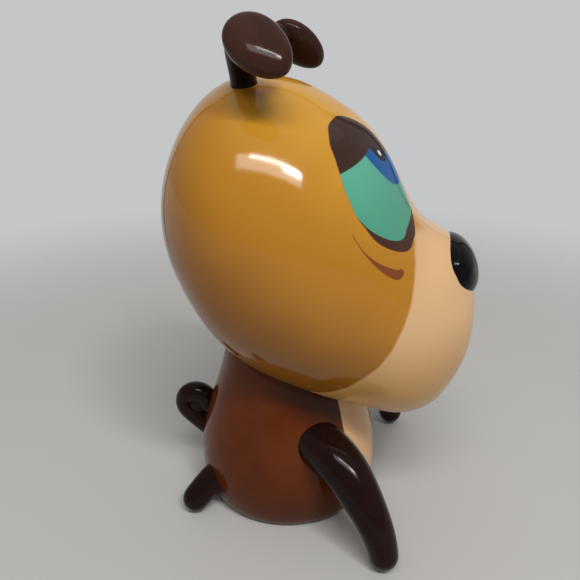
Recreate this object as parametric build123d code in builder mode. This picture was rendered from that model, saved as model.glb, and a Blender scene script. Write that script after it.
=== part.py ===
"""Figural dog coin bank: glazed slip-cast head and body with luted-on ears, legs, nose and tail, and a base stopper.

Frame: +Z up, the dog faces -Y, its right side is -X. Origin: centre of the foot ring, on the surface it stands on.
"""

import os

from build123d import *

os.makedirs("parts", exist_ok=True)

# driving dimensions, mm
wall = 4.0  # slip-cast wall
foot_radius = 33.0  # outside of the foot ring where it meets the table
body_radius = 38.3  # widest girth, a little above the foot
body_top = 78.0  # the body's form runs on up inside the head
base_floor = 6.5  # height of the body's inner floor
recess_depth = 2.5  # the base is hollowed so that the stopper's flange clears the table
recess_radius = 26.0
stopper_hole_radius = 15.0
neck_hole_radius = 17.0  # passage for coins from the head into the body
slot_width = 5.0
slot_bottom = 119.0  # the coin slot runs up the back of the head
slot_top = 157.0

# the body's side from just above the foot up to the neck: radius, height
body_profile = [(38.2, 12.0), (37.7, 24.0), (34.9, 36.5), (31.2, 48.0), (27.6, 60.0), (24.6, body_top)]

# the head as upright elliptical sections from the muzzle back: y, crown height, chin height, half width
head_sections = [
    (-72.5, 95.0, 77.0, 9.0),
    (-71.0, 103.0, 69.0, 15.5),
    (-67.0, 112.0, 58.5, 21.5),
    (-60.0, 118.5, 48.5, 28.5),
    (-51.0, 123.5, 44.5, 34.5),
    (-43.0, 134.0, 44.0, 38.5),
    (-35.0, 148.0, 45.5, 41.5),
    (-24.0, 161.0, 48.0, 46.0),
    (-10.0, 170.5, 52.5, 50.0),
    (6.0, 173.5, 59.0, 51.5),
    (22.0, 171.0, 70.5, 47.5),
    (34.5, 160.5, 87.0, 36.5),
    (42.3, 146.0, 102.5, 23.5),
    (45.5, 134.5, 113.5, 11.5),
]


def head_loft(inset):
    """The egg-shaped head, its surface moved in by inset."""
    with BuildPart(mode=Mode.PRIVATE) as form:
        for y, crown, chin, half_width in head_sections[2:-1] if inset else head_sections:
            plane = Plane(origin=(0, y, (crown + chin) / 2), x_dir=(1, 0, 0), z_dir=(0, 1, 0))
            with BuildSketch(plane):
                Ellipse(half_width - inset, (crown - chin) / 2 - inset)
        loft()
    return form.part


def limb(stations):
    """A round-ended tapering limb through stations of x, y, z and radius."""
    centres = [Vector(*station[:3]) for station in stations]
    with BuildPart(mode=Mode.PRIVATE) as form:
        for index, (centre, station) in enumerate(zip(centres, stations)):
            before = centres[max(index - 1, 0)]
            after = centres[min(index + 1, len(centres) - 1)]
            with BuildSketch(Plane(origin=centre, z_dir=after - before)):
                Circle(station[3])
        loft()
        for centre, station in ((centres[0], stations[0]), (centres[-1], stations[-1])):
            with Locations(centre):
                Sphere(station[3] * 0.98)
    return form.part


def bell(inset, foot, top):
    """The body's turned form from foot to top, its side moved in by inset."""
    with BuildPart(mode=Mode.PRIVATE) as form:
        with BuildSketch(Plane.XZ):
            with BuildLine():
                side = Spline(*[(radius - inset, height) for radius, height in body_profile])
                edge = Spline((foot_radius - inset, foot), (body_radius - 1.4 - inset, foot + 4), side @ 0)
                Polyline(side @ 1, (0, top), (0, foot), edge @ 0)
            make_face()
        revolve(axis=Axis.Z)
    return form.part


with BuildPart() as body_form:
    add(bell(0, 0, body_top))

with BuildPart() as body_cavity:
    add(bell(wall, base_floor, body_top))

with BuildPart() as head_form:
    add(head_loft(0))

with BuildPart() as head_cavity:
    add(head_loft(wall))

nose_centre = (0.0, -64.5, 106.4)
nose_size = (17.8, 8.0, 12.1)  # half width, half depth, half height
nose_tilt = -24  # degrees, its top leaning back with the muzzle
nose_form = Pos(*nose_centre) * Rot(X=nose_tilt) * scale(Sphere(1), by=nose_size)

with BuildPart() as head_casting:
    add(head_form.part)
    add(head_cavity.part, mode=Mode.SUBTRACT)
    with Locations((0, 0, 70)):
        Cylinder(neck_hole_radius, 60, mode=Mode.SUBTRACT)
    with Locations((0, 45, (slot_bottom + slot_top) / 2)):
        Box(slot_width, 40, slot_top - slot_bottom, mode=Mode.SUBTRACT)
head_casting.part.label = "head_casting"
export_step(head_casting.part, "parts/head_casting.step")

with BuildPart() as body_casting:
    add(body_form.part)
    add(body_cavity.part, mode=Mode.SUBTRACT)
    add(head_form.part, mode=Mode.SUBTRACT)  # the neck is trimmed to the underside of the head
    Cylinder(recess_radius, 2 * recess_depth, mode=Mode.SUBTRACT)
    Cylinder(stopper_hole_radius, 4 * base_floor, mode=Mode.SUBTRACT)
body_casting.part.label = "body_casting"
export_step(body_casting.part, "parts/body_casting.step")

with BuildPart() as nose:
    add(nose_form)
    add(head_form.part, mode=Mode.SUBTRACT)
nose.part.label = "nose"
export_step(nose.part, "parts/nose.step")

# right ear: a short stalk, then a flap folded out and forward over its top
ear_stalk = limb([(-12.5, 12, 164, 5.2), (-15.5, 12.5, 174, 4.6), (-22, 12, 182.5, 4.8), (-27, 9, 185.5, 5.0)])
ear_flap_plane = Plane(origin=(-35, 2.4, 182.6), x_dir=(-0.32, -0.75, -0.58), z_dir=(-0.75, -0.13, 0.60))
ear_flap_size = (12.5, 8.7, 4.6)  # half length, half width, half thickness
ear_flap = ear_flap_plane * scale(Sphere(1), by=ear_flap_size)
with BuildPart() as ear_right:
    add(ear_stalk)
    add(ear_flap)
    add(head_form.part, mode=Mode.SUBTRACT)

with BuildPart() as ear_left:
    add(ear_right.part.mirror(Plane.YZ))

# right front leg: out from the shoulder, forward and down to the table
front_leg = limb([
    (-22, -12, 37, 9.8),
    (-29, -20, 37, 9.9),
    (-35.5, -28, 33.5, 9.4),
    (-40.5, -34, 28, 8.4),
    (-44.5, -39, 21.5, 7.3),
    (-47, -43, 13.5, 6.4),
    (-48, -45, 6.2, 5.8),
])
with BuildPart() as front_leg_right:
    add(front_leg)
    add(body_form.part, mode=Mode.SUBTRACT)
    add(head_form.part, mode=Mode.SUBTRACT)

with BuildPart() as front_leg_left:
    add(front_leg_right.part.mirror(Plane.YZ))

hind_leg = limb([(-18, 20, 18, 6.4), (-25, 28, 12, 6.3), (-30.5, 34, 5.8, 5.7)])
with BuildPart() as hind_leg_right:
    add(hind_leg)
    add(body_form.part, mode=Mode.SUBTRACT)

with BuildPart() as hind_leg_left:
    add(hind_leg_right.part.mirror(Plane.YZ))

for piece, name in (
    (ear_right, "ear_right"),
    (ear_left, "ear_left"),
    (front_leg_right, "front_leg_right"),
    (front_leg_left, "front_leg_left"),
    (hind_leg_right, "hind_leg_right"),
    (hind_leg_left, "hind_leg_left"),
):
    piece.part.label = name
    export_step(piece.part, f"parts/{name}.step")

# tail: rises out of the back and curls over on itself in the centre plane
tail_radius = 4.9
curl_radius = 5.6
curl_centre = Vector(0, 41.8, 32.8)
tail_heading = 40  # degrees up from level where it leaves the body
tail_plane = Plane(origin=curl_centre, x_dir=(0, 1, 0), z_dir=(1, 0, 0))
with BuildPart() as tail:
    with BuildLine(tail_plane) as tail_path:
        curl = CenterArc((0, 0), curl_radius, tail_heading - 90, 225)
        root = Line(curl @ 0 - (curl % 0) * 15, curl @ 0)
    with BuildSketch(Plane(origin=root @ 0, z_dir=root % 0)):
        Circle(tail_radius)
    sweep(path=tail_path.wires()[0])
    with Locations(curl @ 1):
        Sphere(tail_radius * 0.98)
    add(body_form.part, mode=Mode.SUBTRACT)
tail.part.label = "tail"
export_step(tail.part, "parts/tail.step")

# stopper: a soft flanged plug with a finger tab across its hollow underside
stopper_gap = 0.3
flange_radius = 18.5
flange_thickness = 1.6
flange_top = recess_depth - stopper_gap
plug_radius = stopper_hole_radius - stopper_gap
plug_top = 13.0
with BuildPart() as stopper:
    with BuildSketch(Plane.XZ):
        with BuildLine():
            Polyline(
                (0, flange_top - flange_thickness),
                (flange_radius - 0.5, flange_top - flange_thickness),
                (flange_radius, flange_top - flange_thickness / 2),
                (flange_radius - 0.5, flange_top),
                (plug_radius, flange_top),
                (plug_radius, base_floor + 1),
                (plug_radius - 1.4, plug_top - 1),
                (plug_radius - 2.4, plug_top),
                (0, plug_top),
                close=True,
            )
        make_face()
    revolve(axis=Axis.Z)
    Cylinder(plug_radius - 3.5, 2 * (plug_top - 2.5), mode=Mode.SUBTRACT)
    with Locations((0, 0, (flange_top - flange_thickness + plug_top - 2) / 2)):
        Box(2 * plug_radius - 6, 2.2, plug_top - 2 - flange_top + flange_thickness)
stopper.part.label = "stopper"
export_step(stopper.part, "parts/stopper.step")
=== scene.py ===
import math

import bmesh
import bpy
import numpy as np
from mathutils import Matrix, Vector


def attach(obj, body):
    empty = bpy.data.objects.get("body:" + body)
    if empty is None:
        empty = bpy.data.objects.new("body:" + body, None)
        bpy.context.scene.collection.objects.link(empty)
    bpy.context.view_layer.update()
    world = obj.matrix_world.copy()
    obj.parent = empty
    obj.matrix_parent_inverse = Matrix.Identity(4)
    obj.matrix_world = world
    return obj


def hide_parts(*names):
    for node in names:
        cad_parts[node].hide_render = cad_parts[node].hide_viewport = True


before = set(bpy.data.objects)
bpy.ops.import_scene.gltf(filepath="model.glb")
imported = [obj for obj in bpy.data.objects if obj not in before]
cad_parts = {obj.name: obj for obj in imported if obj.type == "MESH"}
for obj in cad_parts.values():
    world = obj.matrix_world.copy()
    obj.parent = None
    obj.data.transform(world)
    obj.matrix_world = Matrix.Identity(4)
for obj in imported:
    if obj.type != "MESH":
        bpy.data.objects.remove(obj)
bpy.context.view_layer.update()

mm = 0.001
print("frame loaded:", ", ".join(sorted(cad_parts)))


def curveThrough(stations, values):
    # a natural cubic through a few measured stations, held level past its ends
    xs, ys = np.array(stations, float), np.array(values, float)
    count, gap = len(xs), np.diff(xs)
    left, right = np.eye(count), np.zeros(count)
    for i in range(1, count - 1):
        left[i, i - 1:i + 2] = gap[i - 1], 2 * (gap[i - 1] + gap[i]), gap[i]
        right[i] = 6 * ((ys[i + 1] - ys[i]) / gap[i] - (ys[i] - ys[i - 1]) / gap[i - 1])
    bend = np.linalg.solve(left, right)

    def at(x):
        x = min(max(x, xs[0]), xs[-1])
        i = min(max(int(np.searchsorted(xs, x)) - 1, 0), count - 2)
        t, u, g = x - xs[i], xs[i + 1] - x, gap[i]
        curved = (bend[i] * u ** 3 + bend[i + 1] * t ** 3) / (6 * g)
        return float(curved + (ys[i] / g - bend[i] * g / 6) * u + (ys[i + 1] / g - bend[i + 1] * g / 6) * t)
    return at


def bump(x, width):
    return math.exp(-(x / width) ** 2)


def makePiece(bm, name, nodes, rider, material, smooth=2, wall=0.0):
    bmesh.ops.remove_doubles(bm, verts=bm.verts, dist=0.01 * mm)
    bmesh.ops.recalc_face_normals(bm, faces=bm.faces)
    mesh = bpy.data.meshes.new(name)
    bm.to_mesh(mesh)
    bm.free()
    for face in mesh.polygons:
        face.use_smooth = True
    mesh.materials.append(material)
    piece = bpy.data.objects.new(name, mesh)
    bpy.context.scene.collection.objects.link(piece)
    if wall:
        thick = piece.modifiers.new("wall", "SOLIDIFY")
        thick.thickness, thick.offset = wall * mm, -1
        thick.use_even_offset = True
    if smooth:
        sub = piece.modifiers.new("smooth", "SUBSURF")
        sub.levels = sub.render_levels = smooth
    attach(piece, rider)
    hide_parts(*nodes)
    print("made", name)


def roundForm(bm, radii, place, cells=6, flat=1.0):
    # a ball with even square cells, squeezed to three radii, the first form in its mesh
    bmesh.ops.create_cube(bm, size=2.0)
    bmesh.ops.subdivide_edges(bm, edges=list(bm.edges), cuts=cells - 1, use_grid_fill=True)
    verts = list(bm.verts)
    for v in verts:
        v.co = Vector([math.tan(c * math.pi / 4) for c in v.co]).normalized()
        v.co.z = math.copysign(abs(v.co.z) ** flat, v.co.z)     # below 1 gives a flatter pillow
        v.co = Vector([v.co[i] * radii[i] * mm for i in range(3)])
    bmesh.ops.transform(bm, matrix=place, verts=verts)
    return verts


def limb(bm, stations, sides=14, perSpan=3, domes=(0.35, 0.68, 0.9, 0.99)):
    # rings of a smooth tapering limb, bridged one to the next, with a round end at both tips
    count = list(range(len(stations)))
    along = [curveThrough(count, [s[i] for s in stations]) for i in range(4)]
    steps = [k / perSpan for k in range((len(stations) - 1) * perSpan + 1)]
    rings = [(Vector([along[i](t) for i in range(3)]), along[3](t)) for t in steps]
    headings = [(rings[min(i + 1, len(rings) - 1)][0] - rings[max(i - 1, 0)][0]).normalized()
                for i in range(len(rings))]
    tips = []
    for end, sign in ((0, -1), (-1, 1)):
        centre, r = rings[end]
        out = headings[end] * sign
        tips.append([(centre + out * r * math.sqrt(1 - d * d), r * d, headings[end]) for d in domes])
    path = tips[0] + [(c, r, h) for (c, r), h in zip(rings, headings)] + tips[1][::-1]
    last, previous = path[0][2], None
    turn = Vector((0, 0, 1)).rotation_difference(last)
    for n, (centre, r, heading) in enumerate(path):
        turn = last.rotation_difference(heading) @ turn
        last = heading
        place = Matrix.Translation(centre * mm) @ turn.to_matrix().to_4x4()
        ring = bmesh.ops.create_circle(bm, segments=sides, radius=r * mm, matrix=place,
                                       cap_ends=n in (0, len(path) - 1))["verts"]
        edges = {e for v in ring for e in v.link_edges}
        edges = [e for e in edges if e.verts[0] in ring and e.verts[1] in ring]
        if previous:
            bmesh.ops.bridge_loops(bm, edges=previous + edges)
        previous = edges


def newMaterial(name):
    material = bpy.data.materials.new(name)
    material.use_nodes = True
    tree = material.node_tree
    tree.nodes.clear()
    return material, tree


def feed(tree, target, value):
    if isinstance(value, bpy.types.NodeSocket):
        tree.links.new(value, target)
    else:
        target.default_value = value


def calc(tree, operation, *values, clamp=False):
    node = tree.nodes.new("ShaderNodeMath")
    node.operation, node.use_clamp = operation, clamp
    for socket, value in zip(node.inputs, values):
        feed(tree, socket, value)
    return node.outputs[0]


def fade(tree, value, low, high, outLow=0.0, outHigh=1.0):
    node = tree.nodes.new("ShaderNodeMapRange")
    node.interpolation_type = "SMOOTHSTEP"
    for socket, v in zip(node.inputs, (value, low, high, outLow, outHigh)):
        feed(tree, socket, v)
    return node.outputs[0]


def mixColour(tree, factor, first, second):
    node = tree.nodes.new("ShaderNodeMix")
    node.data_type = "RGBA"
    for socket, v in ((node.inputs[0], factor), (node.inputs[6], first), (node.inputs[7], second)):
        feed(tree, socket, (*v, 1.0) if isinstance(v, tuple) else v)
    return node.outputs[2]


def both(tree, *masks):
    out = masks[0]
    for m in masks[1:]:
        out = calc(tree, "MULTIPLY", out, m)
    return out


def pieceCoords(tree):
    # the place on the piece in millimetres, whole and as x, y and z
    coords = tree.nodes.new("ShaderNodeTexCoord").outputs["Object"]
    scaled = tree.nodes.new("ShaderNodeVectorMath")
    scaled.operation = "SCALE"
    tree.links.new(coords, scaled.inputs[0])
    scaled.inputs["Scale"].default_value = 1000.0
    split = tree.nodes.new("ShaderNodeSeparateXYZ")
    tree.links.new(scaled.outputs[0], split.inputs[0])
    return scaled.outputs[0], split.outputs[0], split.outputs[1], split.outputs[2]


def farFrom(tree, u, v, spot):
    # how far two coordinates are from a spot
    du, dv = calc(tree, "SUBTRACT", u, spot[0]), calc(tree, "SUBTRACT", v, spot[1])
    squares = calc(tree, "ADD", calc(tree, "MULTIPLY", du, du), calc(tree, "MULTIPLY", dv, dv))
    return calc(tree, "SQRT", squares)


def angleRound(tree, u, v, spot):
    return calc(tree, "ARCTAN2", calc(tree, "SUBTRACT", v, spot[1]), calc(tree, "SUBTRACT", u, spot[0]))


def speckle(tree, where, scale, detail=2.0, roughness=0.5):
    node = tree.nodes.new("ShaderNodeTexNoise")
    tree.links.new(where, node.inputs["Vector"])
    for key, v in (("Scale", scale), ("Detail", detail), ("Roughness", roughness)):
        node.inputs[key].default_value = v
    return node.outputs["Fac"]


def glazeShader(tree, where, colour, look):
    # a glossy glaze over its colour, with a faint orange-peel
    shader = tree.nodes.new("ShaderNodeBsdfPrincipled")
    feed(tree, shader.inputs["Base Color"], colour)
    peel = speckle(tree, where, look["peelScale"], 3.0)
    smooth, dull = look["roughness"] * 0.8, look["roughness"] * 1.25
    patchy = speckle(tree, where, 0.09, 3.0)
    feed(tree, shader.inputs["Roughness"], fade(tree, patchy, 0.3, 0.7, smooth, dull))
    shader.inputs["IOR"].default_value = look["ior"]
    relief = tree.nodes.new("ShaderNodeBump")
    relief.inputs["Strength"].default_value = look["peel"]
    relief.inputs["Distance"].default_value = 0.1 * mm
    feed(tree, relief.inputs["Height"], peel)
    tree.links.new(relief.outputs[0], shader.inputs["Normal"])
    out = tree.nodes.new("ShaderNodeOutputMaterial")
    tree.links.new(shader.outputs[0], out.inputs[0])


glossy = {"roughness": 0.095, "ior": 1.45, "peel": 0.06, "peelScale": 0.22}
deepGloss = dict(glossy, ior=1.29)      # the dark glazes mirror less of the room
blackGloss = dict(glossy, ior=1.25)

eye = {
    "centre": (18.6, 140.0),        # across, up
    "reach": 30.0,
    "outline": (16.5, 16.3, 15.8, 18.6, 23.2, 19.8, 15.7, 14.3, 16.1, 19.6, 22.1, 18.9, 16.5),
    "lidSlope": 0.306, "lidHeight": 154.8, "lidInnerSlope": -0.36, "lidInner": 146.4,
    "iris": (7.5, 149.0, 11.6), "pupil": (9.2, 149.8, 4.4), "glint": (9.6, 148.3, 0.9),
    "lash": 3.8, "lashTop": 125.6, "lashSlope": 0.16,
}
face = {
    "muzzleCentre": (4.5, 112.0), "muzzleRadius": 53.0,
    "cheekCentre": (-59.7, 144.3), "cheekRadius": 36.0,
    "crisp": 0.16, "earFoot": (17.0, 7.0),
    "cheekFrom": math.radians(-27.7), "cheekTo": math.radians(-62.5), "cheekWide": 1.2,
    "cheekEnd": (-43.3, 112.6), "cheekEndRadius": 1.55,
}
paints = {
    "lean": 0.75, "cloudy": 26.0, "deepAt": 92.0, "amberAt": 152.0, "goldAt": 192.0,
    "gold": (0.62, 0.305, 0.030), "amber": (0.47, 0.20, 0.014), "deep": (0.26, 0.095, 0.008),
    "dustAndShade": (0.20, 0.065, 0.012), "peach": (0.72, 0.45, 0.235), "chinPeach": (0.55, 0.285, 0.075),
    "teal": (0.10, 0.42, 0.30), "lowTeal": (0.082, 0.34, 0.23), "blue": (0.001, 0.095, 0.33),
    "lid": (0.040, 0.0165, 0.0115), "lash": (0.06, 0.022, 0.014), "cheek": (0.22, 0.055, 0.014),
    "black": (0.006, 0.006, 0.008), "white": (0.85, 0.85, 0.82),
}


def headPaint():
    material, tree = newMaterial("headGlaze")
    where, x, y, z = pieceCoords(tree)
    side = calc(tree, "ABSOLUTE", x)

    def inside(value):  # 1 where the value is below zero, with a sharp hand-cut edge
        return fade(tree, value, face["crisp"], -face["crisp"])

    # airbrushed amber, deeper low down and behind partly as painted shade, with soft cloudy passes of the
    # brush
    cloud = speckle(tree, where, 0.028, 2.0)
    rise = calc(tree, "MULTIPLY_ADD", y, -paints["lean"], z)
    drift = calc(tree, "MULTIPLY_ADD", cloud, paints["cloudy"], rise)
    high = fade(tree, drift, paints["amberAt"], paints["goldAt"])
    low = fade(tree, drift, paints["amberAt"], paints["deepAt"])
    base = mixColour(tree, low, mixColour(tree, high, paints["amber"], paints["gold"]), paints["deep"])
    # brown dusting round the foot of each ear, with painted shade under the flap
    earFootShade = fade(tree, farFrom(tree, side, y, face["earFoot"]), 10.0, 3.0)
    base = mixColour(tree, both(tree, earFootShade, fade(tree, z, 150.0, 160.0), 0.7), base, paints["dustAndShade"])

    # peach muzzle and the blaze that runs up between the eyes
    far = farFrom(tree, y, z, face["muzzleCentre"])
    wobble = calc(tree, "MULTIPLY_ADD", speckle(tree, where, 0.12, 1.0), 1.2, far)
    muzzle = both(tree, fade(tree, wobble, face["muzzleRadius"] + 0.2, face["muzzleRadius"] + 1.3),
                  fade(tree, y, -10.0, -14.0), fade(tree, z, 125.0, 121.0))
    blaze = both(tree, fade(tree, side, 12.0, 7.0), fade(tree, z, 113.0, 118.0),
                 fade(tree, z, 166.0, 150.0), fade(tree, y, -16.0, -22.0))
    peachMask = calc(tree, "MAXIMUM", muzzle, blaze)
    # the peach turns darker and warmer towards the chin
    chinPeach = mixColour(tree, fade(tree, z, 98.0, 62.0, 0.0, 0.85), paints["peach"], paints["chinPeach"])
    base = mixColour(tree, peachMask, base, chinPeach)

    # eye: green with a blue iris under a half-closed brown lid, and a lash line below
    def oval(height):   # below zero inside the eye's outline, with its middle at a height
        spot = (eye["centre"][0], height)
        curve = tree.nodes.new("ShaderNodeFloatCurve")
        points = curve.mapping.curves[0].points
        last = len(eye["outline"]) - 1
        for i, r in enumerate(eye["outline"]):
            point = (i / last, r / eye["reach"])
            if i in (0, last):
                points[0 if i == 0 else -1].location = point
            else:
                points.new(*point)
        curve.mapping.update()
        angle = angleRound(tree, side, z, spot)
        feed(tree, curve.inputs["Value"], calc(tree, "MULTIPLY_ADD", angle, 0.5 / math.pi, 0.5))
        edge = calc(tree, "MULTIPLY", curve.outputs[0], eye["reach"])
        return calc(tree, "SUBTRACT", farFrom(tree, side, z, spot), edge)

    front = fade(tree, y, -12.0, -14.0)
    outline = oval(eye["centre"][1])
    whole = both(tree, inside(outline), front)
    level = calc(tree, "MULTIPLY_ADD", side, -eye["lashSlope"], z)
    lift = fade(tree, level, eye["lashTop"] + 2.5, eye["lashTop"] - 3.5, 0.0, eye["lash"])  # thins away
    clear = oval(calc(tree, "ADD", lift, eye["centre"][1]))
    green = both(tree, inside(calc(tree, "MAXIMUM", outline, clear)), front)
    lidLine = calc(tree, "MULTIPLY_ADD", side, eye["lidSlope"], z)
    lidInner = calc(tree, "MULTIPLY_ADD", side, eye["lidInnerSlope"], z)
    lid = calc(tree, "MAXIMUM", inside(calc(tree, "SUBTRACT", eye["lidHeight"], lidLine)),
               inside(calc(tree, "SUBTRACT", eye["lidInner"], lidInner)))
    greenTint = mixColour(tree, fade(tree, z, 150.0, 124.0), paints["teal"], paints["lowTeal"])
    shown = mixColour(tree, green, paints["lash"], greenTint)
    for key, tint in (("iris", paints["blue"]), ("pupil", paints["black"]), ("glint", paints["white"])):
        within = inside(calc(tree, "SUBTRACT", farFrom(tree, side, z, eye[key]), eye[key][2]))
        shown = mixColour(tree, both(tree, green, within), shown, tint)
    shown = mixColour(tree, lid, shown, paints["lid"])
    base = mixColour(tree, whole, base, shown)

    # brush stroke on the cheek, thin at the back and round at the front
    far = farFrom(tree, y, z, face["cheekCentre"])
    swing = angleRound(tree, y, z, face["cheekCentre"])
    swell = fade(tree, swing, face["cheekFrom"], face["cheekTo"])
    thick = calc(tree, "MULTIPLY_ADD", both(tree, swell, swell), face["cheekWide"], 0.12)
    off = calc(tree, "ABSOLUTE", calc(tree, "SUBTRACT", far, face["cheekRadius"]))
    tip = calc(tree, "MULTIPLY", calc(tree, "SUBTRACT", face["cheekTo"], swing), face["cheekRadius"])
    past = calc(tree, "MAXIMUM", tip, 0.0)
    reach = farFrom(tree, off, past, (0.0, 0.0))
    knob = inside(calc(tree, "SUBTRACT", farFrom(tree, y, z, face["cheekEnd"]), face["cheekEndRadius"]))
    line = both(tree, inside(calc(tree, "SUBTRACT", reach, thick)), fade(tree, z, 135.0, 133.0),
                fade(tree, swing, face["cheekFrom"] + 0.02, face["cheekFrom"]))
    stroke = both(tree, calc(tree, "MAXIMUM", line, knob), fade(tree, side, 18.0, 20.0))
    base = mixColour(tree, stroke, base, paints["cheek"])
    glazeShader(tree, where, base, glossy)
    return material


head = {
    # y, crown height, chin height, half width
    "stations": ((-71, 103, 69, 15.5), (-67, 112, 58.5, 21.5), (-60, 118.5, 48.5, 28.5),
                 (-51, 123.5, 44.5, 34.5), (-43, 134, 44, 38.5), (-35, 148, 45.5, 41.5),
                 (-24, 159.6, 48, 46), (-10, 168.8, 52.5, 50), (6, 173.2, 59, 51.5),
                 (22, 171, 70.5, 47.5), (34.5, 160.5, 87, 36.5), (42.3, 146, 102.5, 23.5)),
    "front": -73.2, "back": 46.2, "cells": 17, "wall": 4.0,
    "slotWide": 4.6, "slotLow": 119.0, "slotHigh": 157.0, "columnWide": 4.5, "rowBelowSlot": 117.0,
    "neckFaces": 15.0, "neckRadius": 16.5, "neckBelow": 90.0,
    "bridge": 1.2, "bridgeWide": 8.0, "bridgeLow": 128.0, "bridgeBack": -12.0, "bridgeFade": 14.0,
    "bridgeOut": (-0.76, 0.65),     # forward and up, square to the forehead
}
headMiddle = (head["front"] + head["back"]) / 2
headReach = (head["back"] - head["front"]) / 2
turns = [math.acos((headMiddle - s[0]) / headReach) for s in head["stations"]]
midLine = curveThrough(turns, [(s[1] + s[2]) / 2 for s in head["stations"]])
tallness = curveThrough(turns, [(s[1] - s[2]) / 2 / math.sin(t) for s, t in zip(head["stations"], turns)])
wideness = curveThrough(turns, [s[3] / math.sin(t) for s, t in zip(head["stations"], turns)])


def underside(x, y):
    # height of the bottom of the head over a point
    t = math.acos(min(max((headMiddle - y) / headReach, -0.999), 0.999))
    out = min(abs(x) / (wideness(t) * math.sin(t)), 0.999)
    return midLine(t) - tallness(t) * math.sin(t) * math.sqrt(1 - out * out)


def buildHead():
    bm = bmesh.new()
    verts = roundForm(bm, (1000, 1000, 1000), Matrix.Identity(4), head["cells"])
    for v in verts:
        d = v.co.normalized()
        t = math.acos(min(max(-d.y, -1), 1))
        x, z = wideness(t) * d.x, midLine(t) + tallness(t) * d.z
        y = headMiddle + headReach * d.y
        above, ahead = z - head["bridgeLow"], head["bridgeBack"] - y
        if above > 0 and ahead > 0:     # a soft bridge between the eyes
            lift = head["bridge"] * bump(x, head["bridgeWide"])
            lift *= min(above / head["bridgeFade"], 1) * min(ahead / head["bridgeFade"], 1)
            y, z = y + lift * head["bridgeOut"][0], z + lift * head["bridgeOut"][1]
        v.co = Vector((x, y, z)) * mm
    # the middle column of cells at the back is drawn in to the slot's width and ends
    column = [v for v in verts if v.co.y > 0 and abs(v.co.x) < head["columnWide"] * mm and v.co.z > 100 * mm]
    for sideSign in (-1, 1):
        half = [v for v in column if v.co.x * sideSign > 0]
        low = min(half, key=lambda v: abs(v.co.z - head["rowBelowSlot"] * mm))
        high = min(half, key=lambda v: abs(v.co.z - head["slotHigh"] * mm) + (v.co.y < 20 * mm))
        low.co.z, high.co.z = head["slotLow"] * mm, head["slotHigh"] * mm
        for v in half:
            if head["slotLow"] - 1 < v.co.z / mm < head["slotHigh"] + 1:
                v.co.x = sideSign * head["slotWide"] / 2 * mm
    gone = []
    for f in bm.faces:
        c = f.calc_center_median() / mm
        slotFace = c.y > 0 and abs(c.x) < 1 and head["slotLow"] < c.z < head["slotHigh"]
        neckFace = c.z < head["neckBelow"] and math.hypot(c.x, c.y) < head["neckFaces"]
        if slotFace or neckFace:
            gone.append(f)
    bmesh.ops.delete(bm, geom=gone, context="FACES")
    for v in bm.verts:
        if v.is_boundary and v.co.z < head["neckBelow"] * mm:   # an even round neck opening
            out = Vector((v.co.x, v.co.y)).normalized() * head["neckRadius"]
            v.co = Vector((out.x, out.y, underside(out.x, out.y))) * mm
    makePiece(bm, "headShell", ["head_casting"], "figure", headPaint(), wall=head["wall"])


buildHead()

nose = {"centre": (0, -64.4, 106.1), "radii": (17.8, 7.9, 12.1), "tilt": -24, "cells": 14,
        "nostril": (17.0, -1.6, 1.7), "nostrilWide": 2.0, "nostrilDeep": 1.4,
        "dark": (0.0015, 0.0015, 0.0025), "pale": (0.003, 0.003, 0.0045)}


def plainGlaze(name, low, high, look, stalk=None):
    # one glaze clouded between two tones, with the ears' stalks darker than their flaps
    material, tree = newMaterial(name)
    where, x = pieceCoords(tree)[:2]
    cloud = fade(tree, speckle(tree, where, 0.05, 4.0), 0.3, 0.7)
    fine = fade(tree, speckle(tree, where, 1.1, 2.0), 0.35, 0.75, 0.0, 0.35)
    colour = mixColour(tree, calc(tree, "ADD", cloud, fine, clamp=True), low, high)
    if stalk:
        colour = mixColour(tree, fade(tree, calc(tree, "ABSOLUTE", x), 27.0, 22.0), colour, stalk)
    glazeShader(tree, where, colour, look)
    return material


def buildNose():
    bm = bmesh.new()
    verts = roundForm(bm, nose["radii"], Matrix.Identity(4), nose["cells"])
    r = nose["radii"]
    for v in verts:
        up = v.co.z / (r[2] * mm)
        v.co.x *= 1 + 0.05 * up - 0.06 * up * up      # broad at the top, narrow below
        for sign in (-1, 1):
            spot = Vector((sign * nose["nostril"][0], *nose["nostril"][1:]))
            deep = nose["nostrilDeep"] * bump((v.co / mm - spot).length, nose["nostrilWide"])
            v.co -= spot.normalized() * deep * mm
    tilt = Matrix.Rotation(math.radians(nose["tilt"]), 4, "X")
    bmesh.ops.transform(bm, matrix=Matrix.Translation(Vector(nose["centre"]) * mm) @ tilt, verts=bm.verts)
    paint = plainGlaze("noseGlaze", nose["dark"], nose["pale"], blackGloss)
    makePiece(bm, "nosePad", ["nose"], "figure", paint)


buildNose()

body = {
    # radius, height up the outside from the belly to the neck
    "side": ((38.2, 12), (37.7, 24), (34.9, 36.5), (31.2, 48), (27.6, 60), (24.6, 78)),
    "wall": 4.0, "steps": 72, "warpFrom": 36.5, "intoHead": 2.4,
    "foot": 33.0, "recess": 26.0, "recessDeep": 2.5, "hole": 15.0, "floor": 6.5,
    "chestHalf": math.radians(38), "neckEdge": 25.5, "top": 78,
    "dark": (0.098, 0.018, 0.001), "pale": (0.134, 0.028, 0.002), "shadedLow": (0.080, 0.019, 0.006),
    "pooledAndShaded": (0.030, 0.006, 0.002), "clay": (0.55, 0.50, 0.43), "paleClay": (0.72, 0.67, 0.60),
}
sideAt = curveThrough([s[1] for s in body["side"]], [s[0] for s in body["side"]])


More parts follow.
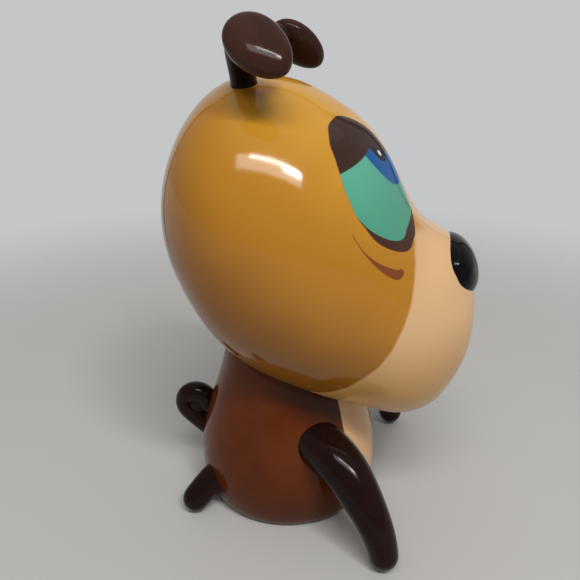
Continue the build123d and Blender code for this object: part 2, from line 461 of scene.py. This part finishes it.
def bodyPaint():
    material, tree = newMaterial("bodyGlaze")
    where, x, y, z = pieceCoords(tree)
    cloud = speckle(tree, where, 0.035, 3.0)
    colour = mixColour(tree, fade(tree, cloud, 0.32, 0.68), body["dark"], body["pale"])
    # painted shade: the glaze darker towards the bottom of the body
    colour = mixColour(tree, fade(tree, z, 26.0, 2.0, 0.0, 0.8), colour, body["shadedLow"])
    # glaze pooled dark, with painted shade under the head, where the neck meets the head
    rise = calc(tree, "MULTIPLY_ADD", y, -0.48, z)
    poolAndShade = both(tree, fade(tree, rise, 50.0, 60.0), fade(tree, y, 16.0, -14.0), 0.8)
    colour = mixColour(tree, poolAndShade, colour, body["pooledAndShaded"])
    # peach bib down the front
    turn = calc(tree, "ABSOLUTE", calc(tree, "ARCTAN2", x, calc(tree, "MULTIPLY", y, -1.0)))
    ragged = calc(tree, "MULTIPLY_ADD", speckle(tree, where, 0.1, 1.0), 0.05, turn)
    low = calc(tree, "MULTIPLY_ADD", fade(tree, z, 26.0, 8.0), -0.5, body["chestHalf"] + 0.025)
    bib = fade(tree, calc(tree, "SUBTRACT", ragged, low), 0.012, -0.012)
    bib = both(tree, bib, fade(tree, z, 7.0, 10.0))
    colour = mixColour(tree, bib, colour, paints["peach"])
    # bare fired clay where the foot ring and the underside were wiped clean of glaze
    bare = fade(tree, z, 0.35, 0.15)
    grit = mixColour(tree, speckle(tree, where, 0.9, 5.0), body["clay"], body["paleClay"])
    colour = mixColour(tree, bare, colour, grit)
    glazeShader(tree, where, colour, deepGloss)
    return material


def buildBody():
    bm = bmesh.new()
    b = body
    heights = [12, 18, 24, 30, b["warpFrom"], 42, 48, 54, 60, 66, 72, b["top"]]
    foot, hole, floor, recess, deep = b["foot"], b["hole"], b["floor"], b["recess"], b["recessDeep"]
    # radius, height: up the outside, down the inside, then the hole, the recess and the foot ring
    outer = [(foot, 0.0), (foot + 0.8, 0.2), (foot + 2.1, 1.6), (foot + 3.5, 4.4)]
    outer += [(sideAt(h), h) for h in heights]
    inner = [(sideAt(h) - b["wall"], h) for h in reversed(heights)]
    inner += [(foot + 0.6, floor + 2.5), (foot - 1.5, floor + 0.4), (foot - 4, floor)]
    under = [(hole + 0.8, floor), (hole, floor - 0.6), (hole, deep + 0.6), (hole + 0.7, deep),
             (recess - 1, deep), (recess, deep - 0.9), (recess + 0.7, 0.1), (recess + 1.6, 0.0)]
    profile = outer + inner + under
    verts = [bm.verts.new((r * mm, 0, h * mm)) for r, h in profile]
    edges = [bm.edges.new((verts[i], verts[(i + 1) % len(verts)])) for i in range(len(verts))]
    bmesh.ops.spin(bm, geom=verts + edges, cent=(0, 0, 0), axis=(0, 0, 1), angle=2 * math.pi,
                   steps=b["steps"], use_merge=True)
    span = b["top"] - b["warpFrom"]
    for v in bm.verts:
        h = v.co.z / mm
        if h > b["warpFrom"] + 0.1:      # the neck rises into the underside of the head all round
            r = Vector((v.co.x, v.co.y)).length / mm
            out = Vector((v.co.x, v.co.y)).normalized()
            inset = sideAt(h) - r
            edge = out * b["neckEdge"]
            top = underside(edge.x, edge.y) + b["intoHead"]
            h = b["warpFrom"] + (h - b["warpFrom"]) / span * (top - b["warpFrom"])
            r = sideAt(h) - inset
            v.co = Vector((out.x * r, out.y * r, h)) * mm
    makePiece(bm, "bodyShell", ["body_casting"], "figure", bodyPaint(), 1)


buildBody()

limbs = {
    "legFront": ((-22, -12, 37, 9.8), (-29, -20, 37, 9.9), (-35.5, -28, 33.5, 9.4), (-40.5, -34, 28, 8.4),
                 (-44.5, -39, 21.5, 7.3), (-47, -43, 13.5, 6.4), (-48, -45, 6.2, 5.8)),
    "legHind": ((-18, 20, 18, 6.4), (-25, 28, 12, 6.3), (-30.5, 34, 5.8, 5.7)),
    "stalk": ((-12.5, 12, 164, 5.2), (-15.5, 12.5, 174, 4.6), (-22, 12, 182.5, 4.8), (-27, 9, 185.5, 5.0)),
    "flapRadii": (12.5, 8.7, 4.5), "flapCentre": (-35, 2.4, 182.6), "flapTaper": 0.12, "flapFlat": 0.72,
    "flapLong": (-0.32, -0.75, -0.58), "flapFace": (-0.75, -0.13, 0.60),
    "tailCurl": 5.6, "tailCentre": (0, 41.8, 32.8), "tailThick": 4.9, "tailSteps": 9,
    "tailHeading": math.radians(40), "tailTurn": math.radians(225), "tailRoot": (15, 8),
    "tailWeb": (3.8, 6.4, 6.4),     # fills the eye of the curl
    "dark": (0.008, 0.0025, 0.002), "pale": (0.015, 0.005, 0.004),
    "earDark": (0.034, 0.0125, 0.010), "earPale": (0.050, 0.0195, 0.0155),
    "stalkDark": (0.006, 0.0022, 0.0018),
}
darkGlaze = plainGlaze("limbGlaze", limbs["dark"], limbs["pale"], blackGloss)
earGlaze = plainGlaze("earGlaze", limbs["earDark"], limbs["earPale"], blackGloss, limbs["stalkDark"])
sides = (("Right", -1), ("Left", 1))


def onSide(station, sign):      # the right side's places, moved across for the left
    return (-sign * station[0], *station[1:])


def buildLegs():
    for sideName, sign in sides:
        for key, node in (("legFront", "front_leg_"), ("legHind", "hind_leg_")):
            bm = bmesh.new()
            limb(bm, [onSide(station, sign) for station in limbs[key]])
            makePiece(bm, key + sideName, [node + sideName.lower()], "figure", darkGlaze)


def buildEars():
    for sideName, sign in sides:
        bm = bmesh.new()
        verts = roundForm(bm, limbs["flapRadii"], Matrix.Identity(4), 8, limbs["flapFlat"])
        for v in verts:     # a little broader at the folded end than at the tip
            v.co.y *= 1 - limbs["flapTaper"] * v.co.x / (limbs["flapRadii"][0] * mm)
        along = Vector(onSide(limbs["flapLong"], sign)).normalized()
        flat = Vector(onSide(limbs["flapFace"], sign))
        flat = (flat - flat.dot(along) * along).normalized()
        turn = Matrix((along, flat.cross(along), flat)).transposed().to_4x4()
        centre = Vector(onSide(limbs["flapCentre"], sign)) * mm
        bmesh.ops.transform(bm, matrix=Matrix.Translation(centre) @ turn, verts=verts)
        limb(bm, [onSide(station, sign) for station in limbs["stalk"]])
        makePiece(bm, "ear" + sideName, ["ear_" + sideName.lower()], "figure", earGlaze)


def buildTail():
    bm = bmesh.new()
    roundForm(bm, limbs["tailWeb"], Matrix.Translation(Vector(limbs["tailCentre"]) * mm), 5)
    curl, (cx, cy, cz), r = limbs["tailCurl"], limbs["tailCentre"], limbs["tailThick"]
    stations = []
    for k in range(limbs["tailSteps"] + 1):
        a = limbs["tailHeading"] - math.pi / 2 + limbs["tailTurn"] * k / limbs["tailSteps"]
        stations.append((cx, cy + curl * math.cos(a), cz + curl * math.sin(a), r))
    first = Vector(stations[0][:3])
    out = Vector((0, math.cos(limbs["tailHeading"]), math.sin(limbs["tailHeading"])))
    root = [(*(first - out * back), r) for back in limbs["tailRoot"]]
    limb(bm, root + stations, perSpan=1)
    makePiece(bm, "tailCurl", ["tail"], "figure", darkGlaze)


buildLegs()
buildEars()
buildTail()

stopper = {
    "flange": 18.5, "under": 0.6, "top": 2.2, "plug": 14.7, "high": 13.0, "groove": 7.5,
    "hollow": 11.2, "roof": 10.8, "tab": 2.2, "steps": 64,
    "milky": (0.60, 0.60, 0.58), "pale": (0.68, 0.68, 0.66),
}


def vinylPaint():
    material, tree = newMaterial("stopperVinyl")
    where = pieceCoords(tree)[0]
    shader = tree.nodes.new("ShaderNodeBsdfPrincipled")
    tone = fade(tree, speckle(tree, where, 0.25, 4.0), 0.3, 0.7)
    feed(tree, shader.inputs["Base Color"], mixColour(tree, tone, stopper["milky"], stopper["pale"]))
    feed(tree, shader.inputs["Roughness"], fade(tree, speckle(tree, where, 1.6, 3.0), 0.3, 0.7, 0.42, 0.58))
    shader.inputs["Subsurface Weight"].default_value = 0.15
    shader.inputs["Subsurface Scale"].default_value = 2 * mm
    relief = tree.nodes.new("ShaderNodeBump")
    relief.inputs["Strength"].default_value = 0.25
    relief.inputs["Distance"].default_value = 0.1 * mm
    feed(tree, relief.inputs["Height"], speckle(tree, where, 2.4, 2.0))
    tree.links.new(relief.outputs[0], shader.inputs["Normal"])
    out = tree.nodes.new("ShaderNodeOutputMaterial")
    tree.links.new(shader.outputs[0], out.inputs[0])
    return material


def buildStopper():
    bm = bmesh.new()
    plug, flange, hollow = stopper["plug"], stopper["flange"], stopper["hollow"]
    high, top, under, roof = stopper["high"], stopper["top"], stopper["under"], stopper["roof"]
    # radius, height: over the plug, round the flange and up into the hollow underside
    profile = [(0, high), (plug - 1.5, high), (plug, high - 1.5), (plug - 0.3, stopper["groove"]),
               (plug, top + 0.4), (plug + 0.5, top), (flange - 0.5, top), (flange, top - 0.5),
               (flange, under + 0.5), (flange - 0.5, under), (hollow + 0.6, under), (hollow, under + 0.6),
               (hollow - 0.3, roof - 0.6), (hollow - 1.0, roof), (0, roof)]
    verts = [bm.verts.new((r * mm, 0, h * mm)) for r, h in profile]
    edges = [bm.edges.new((verts[i], verts[i + 1])) for i in range(len(verts) - 1)]
    bmesh.ops.spin(bm, geom=verts + edges, cent=(0, 0, 0), axis=(0, 0, 1), angle=2 * math.pi,
                   steps=stopper["steps"], use_merge=True)
    bmesh.ops.remove_doubles(bm, verts=bm.verts, dist=0.02 * mm)
    tab = bmesh.ops.create_cube(bm, size=1.0)["verts"]      # the finger tab across the hollow
    tabLow, tabHigh = under + 0.4, roof + 0.6
    bmesh.ops.scale(bm, vec=Vector((2 * hollow + 0.4, stopper["tab"], tabHigh - tabLow)) * mm, verts=tab)
    bmesh.ops.translate(bm, vec=(0, 0, (tabLow + tabHigh) / 2 * mm), verts=tab)
    edges = list({e for v in tab for e in v.link_edges})
    bmesh.ops.bevel(bm, geom=edges, offset=0.5 * mm, segments=2, affect="EDGES", profile=0.5, material=-1)
    makePiece(bm, "stopperPlug", ["stopper"], "stopper", vinylPaint(), 0)


buildStopper()

studio = {
    "floorTone": (0.53, 0.527, 0.515), "floorPale": (0.5512, 0.54808, 0.5356),
    "tableTone": (0.50, 0.50, 0.495), "wallTone": (0.56, 0.565, 0.57),
    "roomTone": (0.30, 0.295, 0.29), "edgeTone": (0.03, 0.025, 0.02),
    "wallWide": 0.75, "wallHigh": 1.0, "wallEdge": 0.10, "worldPower": 1.0,
    "floorSize": 8.0, "floorFrom": 180.0, "floorTo": 520.0,     # the floor thins out into the pale surround
    "heading": math.radians(10.15), "pitch": math.radians(22.5),
    "eyePoint": (-221.1, -40.4, 183.8), "lens": 37.24, "sensor": 36.0,
    "lampAim": (0, 0, 130), "lampTone": (1.0, 0.985, 0.96),
    # towards the lamp, distance and size in metres, power in watts
    "lamps": {
        "windowLong": ((-0.57, -0.17, 0.80), 1.1, 0.92, 0.22, 4.2),
        "windowBright": ((-0.50, -0.24, 0.83), 1.08, 0.66, 0.05, 2.8),
        "windowEnd": ((-0.50, -0.44, 0.75), 1.05, 0.22, 0.07, 1.8),
        "ceilingSoft": ((0.1, -0.1, 1.0), 3.0, 4.0, 4.0, 9.0),
    },
}


def buildStage():
    bm = bmesh.new()
    bmesh.ops.create_grid(bm, x_segments=1, y_segments=1, size=studio["floorSize"])
    mesh = bpy.data.meshes.new("floor")
    bm.to_mesh(mesh)
    bm.free()
    floor = bpy.data.objects.new("floor", mesh)
    material, tree = newMaterial("floorPaper")
    where, x, y = pieceCoords(tree)[:3]
    shader = tree.nodes.new("ShaderNodeBsdfPrincipled")
    tone = mixColour(tree, speckle(tree, where, 0.02, 3.0), studio["floorTone"], studio["floorPale"])
    feed(tree, shader.inputs["Base Color"], tone)
    shader.inputs["Roughness"].default_value = 0.8
    far = farFrom(tree, x, y, (0.0, 0.0))
    clear = tree.nodes.new("ShaderNodeBsdfTransparent")
    blend = tree.nodes.new("ShaderNodeMixShader")
    feed(tree, blend.inputs[0], fade(tree, far, studio["floorFrom"], studio["floorTo"]))
    tree.links.new(shader.outputs[0], blend.inputs[1])
    tree.links.new(clear.outputs[0], blend.inputs[2])
    out = tree.nodes.new("ShaderNodeOutputMaterial")
    tree.links.new(blend.outputs[0], out.inputs[0])
    mesh.materials.append(material)
    bpy.context.scene.collection.objects.link(floor)


def buildWorld():
    world = bpy.data.worlds.new("softRoom")
    world.use_nodes = True
    bpy.context.scene.world = world
    tree = world.node_tree
    tree.nodes.clear()
    heading = tree.nodes.new("ShaderNodeTexCoord").outputs["Generated"]
    split = tree.nodes.new("ShaderNodeSeparateXYZ")
    tree.links.new(heading, split.inputs[0])
    dx, dy, dz = split.outputs
    cosH, sinH = math.cos(studio["heading"]), math.sin(studio["heading"])
    ahead = calc(tree, "ADD", calc(tree, "MULTIPLY", dx, cosH), calc(tree, "MULTIPLY", dy, sinH))
    aside = calc(tree, "SUBTRACT", calc(tree, "MULTIPLY", dy, cosH), calc(tree, "MULTIPLY", dx, sinH))
    safe = calc(tree, "MAXIMUM", ahead, 0.001)
    across = calc(tree, "DIVIDE", calc(tree, "ABSOLUTE", aside), safe)
    up = calc(tree, "DIVIDE", dz, safe)

    def panel(outside, inner):      # 1 on an upright panel straight ahead, with a soft edge
        wide = fade(tree, across, studio["wallWide"] + outside, studio["wallWide"] + inner)
        high = fade(tree, up, studio["wallHigh"] + outside, studio["wallHigh"] + inner)
        return both(tree, wide, high, fade(tree, ahead, 0.0, 0.02))

    colour = mixColour(tree, fade(tree, dz, 0.0, -0.02), studio["roomTone"], studio["tableTone"])
    rim = studio["wallEdge"]
    # a thin dark line round the pale wall
    colour = mixColour(tree, panel(rim, rim - 0.02), colour, studio["edgeTone"])
    colour = mixColour(tree, panel(0.03, -0.03), colour, studio["wallTone"])
    glow = tree.nodes.new("ShaderNodeBackground")
    tree.links.new(colour, glow.inputs[0])
    glow.inputs[1].default_value = studio["worldPower"]
    out = tree.nodes.new("ShaderNodeOutputWorld")
    tree.links.new(glow.outputs[0], out.inputs[0])


def addLamp(name, towards, distance, long, wide, power):
    # a soft box that faces the head, with its long side along Y
    lamp = bpy.data.lights.new(name, "AREA")
    lamp.shape, lamp.size, lamp.size_y = "RECTANGLE", long, wide
    lamp.energy, lamp.color = power, studio["lampTone"]
    holder = bpy.data.objects.new(name, lamp)
    bpy.context.scene.collection.objects.link(holder)
    out = Vector(towards).normalized()
    right = (Vector((0, 1, 0)) - out * out.y).normalized()
    turn = Matrix((right, out.cross(right), out)).transposed().to_4x4()
    holder.matrix_world = Matrix.Translation(Vector(studio["lampAim"]) * mm + out * distance) @ turn


def buildCamera():
    lens = bpy.data.cameras.new("camera")
    lens.lens, lens.sensor_width, lens.sensor_fit = studio["lens"], studio["sensor"], "HORIZONTAL"
    lens.clip_start, lens.clip_end = 0.01, 20.0
    camera = bpy.data.objects.new("camera", lens)
    bpy.context.scene.collection.objects.link(camera)
    heading, pitch = studio["heading"], studio["pitch"]
    level = math.cos(pitch)
    look = Vector((math.cos(heading) * level, math.sin(heading) * level, -math.sin(pitch)))
    turn = look.to_track_quat("-Z", "Y").to_matrix().to_4x4()
    camera.matrix_world = Matrix.Translation(Vector(studio["eyePoint"]) * mm) @ turn
    bpy.context.scene.camera = camera


buildStage()
buildWorld()
for lampName, settings in studio["lamps"].items():
    addLamp(lampName, *settings)
buildCamera()
bpy.context.scene.view_settings.view_transform = "Standard"
print("stage, lights and camera ready")
